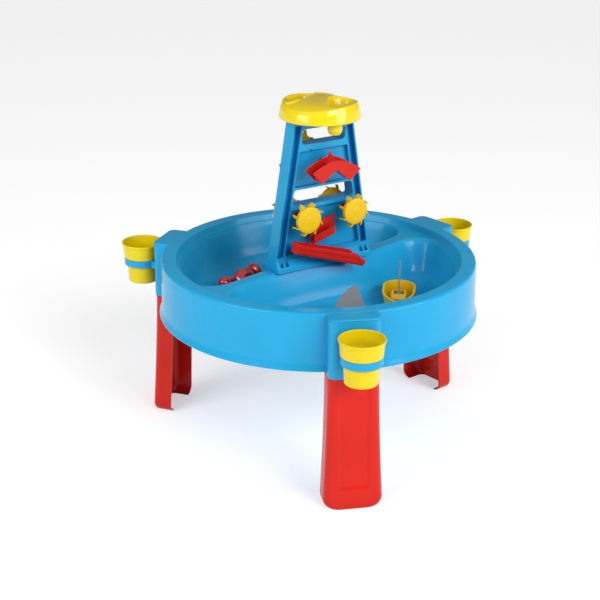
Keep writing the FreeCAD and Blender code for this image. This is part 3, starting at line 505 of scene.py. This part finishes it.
HOPPER_LOW, HOPPER_TOP = 270.0, 301.3
HOPPER_R = 68.0                                  # edge of the dome
HOPPER_COUNT, HOPPER_RINGS, HOPPER_UNDER = 360, 190, 90
BOWLS = (((-45.0, 20.0, 19.0), (-17.0, 48.0, 14.0)), ((40.0, -3.0, 26.0), (19.5, -43.0, 15.0)))
RIDGE_RISE, RIDGE_HALF = 2.8, 4.2
RIDGE = [(-71, -6), (-52, -8), (-28, 16), (-2, 46), (12, 55), (38, 58)]
BOWL_DEG = 137.0                                 # direction of the rear bowl
SPOUTS = ((18.7, -46.4), (-18.7, 46.4))
SPOUT_HOLE_R = 6.2
BOWL_PROFILE = smooth_table([(-60, 0), (-1.5, 0), (2, -4.5), (6, -14), (9.5, -17.5),
                             (14, -18.3), (60, -18.3)], 1.6)


def capsule_depth(x, y, ends):
    """Distance inside a tapering capsule, given as (x, y, radius) at both ends."""
    (xa, ya, ra), (xb, yb, rb) = ends
    dx, dy = xb - xa, yb - ya
    t = np.clip(((x - xa) * dx + (y - ya) * dy) / (dx * dx + dy * dy), 0, 1)
    return ra + (rb - ra) * t - np.hypot(x - xa - t * dx, y - ya - t * dy)


def smooth_path(points, steps=12):
    """Catmull-Rom curve through the points."""
    ends = [np.array(p, float) for p in points]
    ends = [2 * ends[0] - ends[1]] + ends + [2 * ends[-1] - ends[-2]]
    out = []
    for i in range(1, len(ends) - 2):
        p0, p1, p2, p3 = ends[i - 1:i + 3]
        for k in range(steps):
            t = k / steps
            out.append(0.5 * (2 * p1 + (p2 - p0) * t + (2 * p0 - 5 * p1 + 4 * p2 - p3) * t * t
                              + (3 * p1 - p0 - 3 * p2 + p3) * t ** 3))
    out.append(ends[-2])
    return np.array(out)


def edge_fall(degrees):
    """How far the rim sinks between the two bowls, where the dome runs out into the side."""
    return 3.6 * (1 - np.cos(np.radians(2 * (degrees - BOWL_DEG))))


def hopper_height(x, y, widen=0.0):
    """Dome with two bowls, the S-shaped ridge between them and a hole over each spout."""
    depth = np.maximum(capsule_depth(x, y, BOWLS[0]), capsule_depth(x, y, BOWLS[1])) + widen
    out = np.hypot(x, y) / HOPPER_R
    z = HOPPER_TOP + 2.0 * (1 - out ** 2) - edge_fall(np.degrees(np.arctan2(y, x))) * out ** 4
    z = z + np.interp(depth, BOWL_PROFILE[0], BOWL_PROFILE[1])
    path = smooth_path(RIDGE)
    away = np.min(np.hypot(x[:, None] - path[:, 0], y[:, None] - path[:, 1]), axis=1)
    z = z + RIDGE_RISE * np.exp(-(away / RIDGE_HALF) ** 2) * np.clip(1 - depth / 3, 0, 1)
    for sx, sy in SPOUTS:
        hole = np.clip((SPOUT_HOLE_R + widen - np.hypot(x - sx, y - sy)) / 1.6, 0, 1)
        z = z - 14 * hole * hole * (3 - 2 * hole)
    return z


def make_hopper():
    """Dome, side and underside as one polar grid, with two turned spouts below."""
    count = HOPPER_COUNT
    angles = np.arange(count) * 2 * math.pi / count
    fall = edge_fall(np.degrees(angles))
    rows = []
    for r in np.linspace(0, 66.5, HOPPER_RINGS):
        x, y = r * np.cos(angles), r * np.sin(angles)
        rows.append(np.stack([x, y, hopper_height(x, y)], 1))
    side = rounded_profile([(66.8, HOPPER_TOP + 0.05), (69.3, HOPPER_TOP - 0.2), (73.4, 291.0),
                            (76.3, 273.0), (75.6, HOPPER_LOW), (73.0, HOPPER_LOW),
                            (70.2, 291.0), (66.8, 297.0), (64.0, 298.0)],
                           [0, 6, 30, 2, 1, 1, 6, 3, 0], 10)
    for r, z in side:
        sink = fall * min(1.0, max(0.0, (z - 279.0) / 20.0)) ** 1.4
        rows.append(np.stack([r * np.cos(angles), r * np.sin(angles), z - sink], 1))
    for r in np.linspace(63, 0, HOPPER_UNDER):
        x, y = r * np.cos(angles), r * np.sin(angles)
        rows.append(np.stack([x, y, np.minimum(hopper_height(x, y, 2.4), HOPPER_TOP) - 3], 1))
    parts = [(np.concatenate(rows), ring_faces(len(rows), count))]
    spout = lathe(rounded_profile([(11.4, 288.0), (14.0, 288.0), (14.0, 256.0), (10.0, 247.0),
                                   (4.2, 247.0), (4.2, 250.5), (9.0, 255.0), (11.4, 262.0),
                                   (11.4, 288.0)], [0, 1, 9, 3, 0.8, 1, 3, 3, 0], 7), 72)
    for x, y in SPOUTS:
        parts.append(moved(spout, x, y))
    make_piece("hopper_skin", parts, "yellow", "table", ["hopper"], finish="glossy")


# ---- cups ---------------------------------------------------------------------------------

CUP_R = 372.0                                    # from the middle line to the cup's own
CUP_LIP, CUP_BASE, CUP_STEP = -17.3, -98.3, -47.7


def make_cup(corner):
    """Tapered cup whose step rests in the bracket's ring."""
    lip, base, step = CUP_LIP, CUP_BASE, CUP_STEP
    profile = rounded_profile([(0, base + 1.2), (22, base + 1.2), (24, base), (29.8, base),
                               (31.8, step), (37.2, step), (39.3, lip - 4.4),
                               (41.2, lip - 3.6), (41.2, lip), (37.8, lip), (34.9, step + 2.4),
                               (29.8, step + 1.0), (27.6, base + 2.3), (0, base + 2.3)],
                              [0, 1, 1, 3.5, 0.8, 1.4, 1.0, 1.0, 1.5, 1.5, 1.6, 2.0, 4.0, 0], 6)
    a = math.radians(CORNERS[corner])
    part = moved(lathe(profile, 120), CUP_R * math.cos(a), CUP_R * math.sin(a))
    make_piece("cup_skin_" + corner, [part], "yellow", "cup_" + corner, ["cup_" + corner])


# ---- wheels -------------------------------------------------------------------------------

BLADES = 8
WHEELS = {                                       # along the tower, height, near, far, boss, rear
    "wheel_front_left": (-52, 91, 27, 50, 50, False),
    "wheel_front_right": (52, 91, 27, 50, 50, False),
    "wheel_rear_left": (-52, 91, 27, 40, 50, True),
    "wheel_rear_right": (52, 91, 27, 40, 50, True),
    "wheel_rear_top": (-28, 212, 16.5, 32.5, 32.5, True),
}


def blade_shell(near, far):
    """Hooked paddle: a curved strip with a thicker root and a scooped, flaring tip."""
    centre = smooth_path([(5.0, 0.0), (14, 0.6), (20, 1.2), (25.0, -0.4), (28.8, -3.6),
                          (30.6, -6.2)], 5)
    tangent = np.gradient(centre, axis=0)
    normal = np.stack([-tangent[:, 1], tangent[:, 0]], 1)
    normal /= np.linalg.norm(normal, axis=1)[:, None]
    half = np.linspace(1.3, 0.85, len(centre))[:, None]
    outline = np.concatenate([centre + normal * half, (centre - normal * half)[::-1]])
    depths = np.linspace(near, far, 6)
    rows = []
    for k, n in enumerate(depths):
        flare = 1 + 0.02 * math.cos(math.pi * k / (len(depths) - 1))
        rows.append([(p[0] * flare, -n, p[1]) for p in outline])
    return loft(rows)


def make_wheel(name, s, z, near, far, boss, rear):
    """Drum, paddles and hub run along the pin, from near to far of the tower's middle plane."""
    disc = lathe(rounded_profile([(0, far), (5.5, far), (6.5, far - 0.4), (19.0, far - 0.5),
                                  (25.4, far - 1.6), (25.4, far - 9.0), (0, far - 9.0)],
                                 [0, 0.5, 0.5, 4, 1.2, 1.0, 0], 4), 96)
    back = lathe(rounded_profile([(3.1, near), (15, near), (15, near + 2.2), (3.1, near + 2.2)],
                                 [0, 0.6, 0.6, 0], 3), 72, True)
    hub = lathe(rounded_profile([(3.1, near), (6.2, near), (6.2, far - 1), (3.1, far - 1)],
                                [0, 0.6, 0.3, 0], 3), 48, True)
    turned = [disc, back, hub]
    if boss > far:
        turned.append(lathe(rounded_profile([(0, far - 2), (6.4, far - 2), (6.2, boss), (0, boss)],
                                            [0, 0, 1.2, 0], 4), 48))
    parts = [spun(part, 90, "X") for part in turned]
    blade = blade_shell(far - 0.62 * (far - near), far - 1.0)
    parts += [spun(blade, 360 / BLADES * i + 12, "Y") for i in range(BLADES)]
    if rear:
        parts = [spun(part, 180, "Z") for part in parts]
    parts = [moved(part, s, 0, z) for part in parts]
    make_piece(name + "_skin", parts, "yellow", name, [name], TOWER_DEG, "golden")


# ---- long chutes --------------------------------------------------------------------------

CHUTE_N = (27.0, 58.0)                           # from the tower's middle plane
CHUTE_X = (-84.0, 68.0)                          # along the tower
CHUTE_DEG = 17.3
CHUTE_TOP = 51.5
CHUTE_H = 19.5
CHUTE_END = 9.0                                  # radius of its ends in plan


def chute_section(half, height, floor, lip):
    """Closed U section (y, z) about the chute's middle; floor is the trough's bottom."""
    wall = 2.2
    r = min(7.0, half * 0.45)
    out = [(-half - lip, height), (-half - lip, height - 6.5), (-half, height - 7.6)]
    corners = [(-half, r), (-half * 0.985, r * 0.45), (-half + r * 0.45, 0.0),
               (-half + r, 0.0)]
    out += corners + [(0.0, 0.0)] + [(-y, z) for y, z in reversed(corners)]
    out += [(half, height - 7.6), (half + lip, height - 6.5), (half + lip, height)]
    out += [(half - wall, height)]
    inner = half - wall
    q = max(0.5, r - wall)
    inside = [(inner, floor + q), (inner * 0.98, floor + q * 0.4), (inner - q, floor)]
    out += inside + [(0.0, floor)] + [(-y, z) for y, z in reversed(inside)]
    out += [(-inner, height)]
    return out


def make_low_chute(name, rear):
    """Sloping trough with round ends; its far wall stands upright, its front wall sinks."""
    n_mid, half = sum(CHUTE_N) / 2, (CHUTE_N[1] - CHUTE_N[0]) / 2 - 1.4
    length = (CHUTE_X[1] - CHUTE_X[0]) / math.cos(math.radians(CHUTE_DEG))
    stations = list(np.linspace(0, CHUTE_END, 12)) + list(np.linspace(12, length - 22, 14))
    stations += list(np.linspace(length - 20, length, 22))
    rows = []
    for x in stations:
        short = CHUTE_END - min(x, CHUTE_END)
        head = CHUTE_END - math.sqrt(max(0.0, CHUTE_END ** 2 - short ** 2))
        tail = max(0.0, x - (length - CHUTE_END))
        nose = CHUTE_END - math.sqrt(max(0.0, CHUTE_END ** 2 - tail ** 2))
        width = half - 0.8 * head - 0.75 * nose
        drop = np.clip((x - (length - 24)) / 12, 0, 1)
        height = CHUTE_H - 6.0 * drop * drop * (3 - 2 * drop) - 0.35 * nose
        floor = 2.5 + (height - 2.5) * np.clip((4.2 - x) / 2.2, 0, 1)
        along = x / length
        rows.append([(x, y - 4.5 * along * (y < 0), z - 3.6 * along * (y < 0))
                     for y, z in chute_section(width, height, floor, 1.4)])
    part = spun(loft(rows), CHUTE_DEG, "Y")
    parts = [moved(part, CHUTE_X[0], -n_mid, CHUTE_TOP - CHUTE_H)]
    if rear:
        parts = [spun(p, 180, "Z") for p in parts]
    return make_piece(name, parts, "red", "table", (), TOWER_DEG)


# ---- short chutes -------------------------------------------------------------------------

HIGH_N = (16.5, 33.0)                            # from the tower's middle plane
HIGH_X = (-31.0, 24.0)                           # along the tower


def make_high_chute(name, rear):
    """Open trough with a tall splash wall, its right end cut on the slant."""
    wall = 2.2
    near, far = HIGH_N
    outline = [(near, "top"), (near, "foot"), (near + 2, "base"), (far - 3, "base"),
               (far, "foot"), (far, "lip"), (far - wall, "lip"), (far - wall, "well"),
               (near + wall, "well"), (near + wall, "top")]
    rows = []
    for t in np.linspace(0, 1, 24):
        row = []
        for n, kind in outline:
            right = HIGH_X[1] - 9.0 * (n - near) / (far - near)
            x = HIGH_X[0] + (right - HIGH_X[0]) * t
            base = 50.0 - 0.262 * (HIGH_X[1] - x)
            height = {"base": base, "foot": base + 2.4, "well": base + 2.5,
                      "lip": 66.0 - 0.30 * (16.0 - x), "top": 84.0 - 0.246 * (HIGH_X[1] - x)}
            row.append((x, -n, height[kind]))
        rows.append(row)
    parts = [loft(rows), box_shell(-8, 0, -near - 1, -4.3, 58, 66)]
    if rear:
        parts = [spun(p, 180, "Z") for p in parts]
    make_piece(name + "_skin", parts, "red", "table", [name], TOWER_DEG)


# ---- legs ---------------------------------------------------------------------------------

LEG_TOP, LEG_FOOT = -111.0, -362.0
LEG_WALL = 3.5
LEG_DEPTH = 41.0
LEG_ROUND = 15.0                                 # its two outer corners in plan
LEG_TUCK = 17.0                                  # the sides curve in over this height
PANEL_HALF, PANEL_LOW, PANEL_SINK = 27.0, 40.0, 3.0


def leg_outline(half, face, wall, steps=7):
    """Open U of (x, y), from one free edge round the front to the other."""
    r = LEG_ROUND - wall
    x, y, back = half - wall, -face + wall, -face + LEG_DEPTH
    points = [(-x, back - (back - y - r) * k / 8) for k in range(9)]
    points += [(-x + r - r * math.cos(a), y + r - r * math.sin(a))
               for a in [math.pi / 2 * k / steps for k in range(1, steps + 1)]]
    points += [(-x + r + (2 * x - 2 * r) * k / 40, y) for k in range(1, 40)]
    points += [(x - r + r * math.sin(a), y + r - r * math.cos(a))
               for a in [math.pi / 2 * k / steps for k in range(steps + 1)]]
    points += [(x, y + r + (back - y - r) * k / 8) for k in range(1, 9)]
    return points


def foot_tuck(height):
    """How far the sides curve in just above the floor."""
    short = LEG_TUCK - min(LEG_TUCK, height)
    return LEG_TUCK - math.sqrt(LEG_TUCK ** 2 - short ** 2)


def make_leg(corner):
    """Channel leg that spreads towards the foot, with a long shallow panel down its front."""
    heights = np.concatenate([np.linspace(0, 0.80, 30), np.linspace(0.81, 0.91, 8),
                              1 - 0.085 * np.linspace(1, 0, 16) ** 1.6])
    outside, inside = [], []
    for t in heights:
        z = LEG_TOP + (LEG_FOOT - LEG_TOP) * t
        half = 46.0 + 9.0 * t ** 1.5 - foot_tuck(z - LEG_FOOT)
        face = 328.0 + 11.0 * t ** 1.2
        for rows, wall in ((outside, 0.0), (inside, LEG_WALL)):
            row = []
            for x, y in leg_outline(half, face, wall):
                edge = min(PANEL_HALF - abs(x), z - LEG_FOOT - PANEL_LOW)
                sunk = min(1.0, max(0.0, 0.5 + edge / 7.0)) if y < -face + 6 else 0.0
                row.append((x, y + PANEL_SINK * sunk * sunk * (3 - 2 * sunk), z))
            rows.append(row)
    count = len(outside[0])
    loops = [a + b[::-1] for a, b in zip(outside, inside)]
    vertices = [v for loop in loops for v in loop]
    faces = ring_faces(len(loops), 2 * count)
    for end in (0, (len(loops) - 1) * 2 * count):
        for k in range(count - 1):
            faces.append((end + k, end + k + 1, end + 2 * count - 2 - k, end + 2 * count - 1 - k))
    shelf = box_shell(-42, 42, -325, -293, -114.5, LEG_TOP)
    tongue = box_shell(-41.4, 41.4, -325.4, -322.4, -113, -61)
    make_piece("leg_skin_" + corner, [(vertices, faces), shelf, tongue], "red", "table",
               ["leg_" + corner], CORNERS[corner] + 90)


# ---- tippers ------------------------------------------------------------------------------

TIPPER_N = (33.0, 60.0)                          # from the tower's middle plane
TIPPER_HALF = 52.0
TIPPER_NOTCH = 31.0                              # half width of the floor
TIPPER_AT = {"front": (188.0, 2.7), "rear": (161.0, 20.0)}    # height and tilt in degrees


def arch(x, drop, rise):
    """Height of a tipper's curved edge above its pivot."""
    return rise - (drop + rise) * (abs(x) / TIPPER_HALF) ** 1.75


def underside(x):
    """Underside of the walls: down from the notch to a corner, then up to the tip."""
    x = abs(x)
    return -5.5 - 0.76 * x if x < TIPPER_NOTCH else -29.0 + 0.95 * (x - TIPPER_NOTCH)


def slab(stations, n0, n1, top, under, soft=0.6):
    """Closed plate between n0 and n1 whose two edges follow the given curves."""
    rows = []
    for x in stations:
        high, low = top(x), under(x)
        rows.append([(x, -n0, high - soft), (x, -n0, low + soft), (x, -n0 - soft, low),
                     (x, -n1 + soft, low), (x, -n1, low + soft), (x, -n1, high - soft),
                     (x, -n1 + soft, high), (x, -n0 - soft, high)])
    return loft(rows)


def make_tipper(face):
    """Rocking double trough: arched walls, a floor that falls to both sides, a pointed fin."""
    near, far = TIPPER_N
    wide = sorted(list(np.linspace(-51.5, 51.5, 61)) + [-TIPPER_NOTCH, TIPPER_NOTCH])
    back = slab(wide, near, near + 2.4, lambda x: arch(x, 7.0, 15.0), underside)
    front = slab(wide, far - 2.4, far, lambda x: arch(x, 7.0, 12.0), underside)
    floor = slab(np.linspace(-TIPPER_NOTCH, TIPPER_NOTCH, 41), near + 0.5, far - 0.5,
                 lambda x: 2.5 - 0.735 * math.hypot(x, 3.0), lambda x: underside(x) + 0.05)
    fin = []
    for n in np.linspace(near, far - 2.6, 9):
        t = (n - near) / (far - 2.6 - near)
        tip, half = 25.5 - 15.5 * t ** 0.8, 12.0 - 4.0 * t
        side = 2.0 + 0.42 * (tip - 2)
        fin.append([(x, -n, z) for x, z in
                    ((-half, 2.0), (-half * 0.55, side), (-1.6, tip - 1.6), (0.0, tip),
                     (1.6, tip - 1.6), (half * 0.55, side), (half, 2.0), (0.0, -2.0))])
    hub = spun(lathe([(0, near), (6, near), (6, far - 0.5), (0, far - 0.5)], 48), 90, "X")
    z, lean = TIPPER_AT[face]
    parts = [back, front, floor, loft(fin), hub]
    if face == "rear":
        parts = [spun(p, 180, "Z") for p in parts]
    parts = [moved(spun(p, lean, "Y"), 0, 0, z) for p in parts]
    name = "tipper_" + face
    make_piece(name + "_skin", parts, "red", name, [name], TOWER_DEG, sharp=35.0)


# ---- corner lobes -------------------------------------------------------------------------

def rounded_plan(half_x, y_low, y_high, radius, inset, steps=10):
    """Closed outline of a plate: its two outer corners are rounded, its inner edge is straight."""
    r = radius - inset
    x, y = half_x - inset, y_low + inset
    points = [(-x, y_high), (-x, y + r)]
    for k in range(1, steps):
        a = math.pi / 2 * k / steps
        points.append((-x + r - r * math.cos(a), y + r - r * math.sin(a)))
    points.append((-x + r, y))
    points.append((x - r, y))
    for k in range(1, steps):
        a = math.pi / 2 * k / steps
        points.append((x - r + r * math.sin(a), y + r - r * math.cos(a)))
    points += [(x, y + r), (x, y_high)]
    return points


LOBE_HALF, LOBE_Y, LOBE_ROUND = 46.0, (-330.0, -295.0), 14.0


def make_lobe(corner):
    """Flat top of a corner, a little below the rim, with a soft edge."""
    rows = []
    for inset, z in ((0.0, -4.0), (0.0, -3.0), (0.4, -1.9), (1.2, -1.15), (2.4, -0.8),
                     (6.0, -0.7)):
        rows.append([(x, y, z) for x, y in rounded_plan(LOBE_HALF, *LOBE_Y, LOBE_ROUND, inset)])
    make_piece("lobe_" + corner, [loft(rows)], "blue", "table", (), CORNERS[corner] + 90)


# ---- sand mould ---------------------------------------------------------------------------

MOULD_DEG = 35.0                                 # heading of the toy, from its head to its tail
MOULD_AT = (-133.0, 92.0, -91.7)                 # mm, middle of its foot


def ball(x, y, z, rx, ry, rz, count=48, rows=24):
    """Closed ellipsoid about (x, y, z)."""
    profile = [(math.sin(math.pi * k / rows), -math.cos(math.pi * k / rows))
               for k in range(rows + 1)]
    vertices, faces = lathe(profile, count)
    return [(x + rx * v[0], y + ry * v[1], z + rz * v[2]) for v in vertices], faces


def ribbed_shell(x, rx, ry, rz, wall, count=144, rows=36):
    """Hollow half egg, open below, with ribs that run along its back."""
    arc = [math.pi / 2 * k / rows for k in range(rows + 1)]
    rings = [(a, 0.0) for a in arc] + [(a, wall) for a in reversed(arc)]
    vertices = []
    for a, skin in rings:
        for j in range(count):
            b = 2 * math.pi * j / count
            u, v, w = math.sin(a) * math.cos(b), math.sin(a) * math.sin(b), math.cos(a)
            across = math.atan2(v, w)
            rib = 2.0 * (0.5 + 0.5 * math.cos(11 * across)) ** 2 * (1 - u * u) if not skin else 0.0
            vertices.append((x + u * (rx - skin), v * (ry - skin + rib), w * (rz - skin + rib)))
    return vertices, ring_faces(len(rings), count)


def make_mould():
    """Sand mould: ribbed hollow body, round head on a short neck, round tail."""
    parts = [ribbed_shell(3.0, 29.5, 23.5, 37.0, 2.4),
             ball(-50.0, 0.0, 21.0, 13.2, 13.2, 13.2),
             ball(-36.0, 0.0, 25.0, 6.5, 5.5, 5.5),
             ball(-27.0, 0.0, 23.0, 7.0, 4.5, 4.5),
             ball(31.0, 2.0, 20.0, 8.0, 5.5, 5.5),
             ball(37.5, 6.0, 24.0, 10.0, 17.5, 13.5)]
    turned = [spun(part, MOULD_DEG, "Z") for part in parts]
    make_piece("sand_mould_skin", [moved(part, *MOULD_AT) for part in turned], "red",
               "mould", ["sand_mould"], finish="candy")


# ---- the scene ----------------------------------------------------------------------------

make_camera()
make_studio()

CAD_SHARP = 32.0                                 # degrees
slots = {part["node"]: part["material_slot"] for part in frame["record"]["subparts"]}
for node_name, node in frame["nodes"].items():
    finish_name = "golden" if node_name == "boat_hull" else slots[node_name]
    node.data.materials.clear()
    node.data.materials.append(MATERIALS[finish_name])
    node.data.polygons.foreach_set("use_smooth", [True] * len(node.data.polygons))
    node.data.set_sharp_from_angle(angle=math.radians(CAD_SHARP))

make_basin()
make_hopper()
for corner_name in CORNERS:
    make_cup(corner_name)
    make_lobe(corner_name)
    make_leg(corner_name)
make_high_chute("chute_high_front", False)
make_high_chute("chute_high_rear", True)
make_tipper("front")
make_tipper("rear")
make_mould()
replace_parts(make_low_chute("chute_low_front_skin", False), "chute_low_front")
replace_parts(make_low_chute("chute_low_rear_skin", True), "chute_low_rear")
for wheel_name, at in WHEELS.items():
    make_wheel(wheel_name, *at)
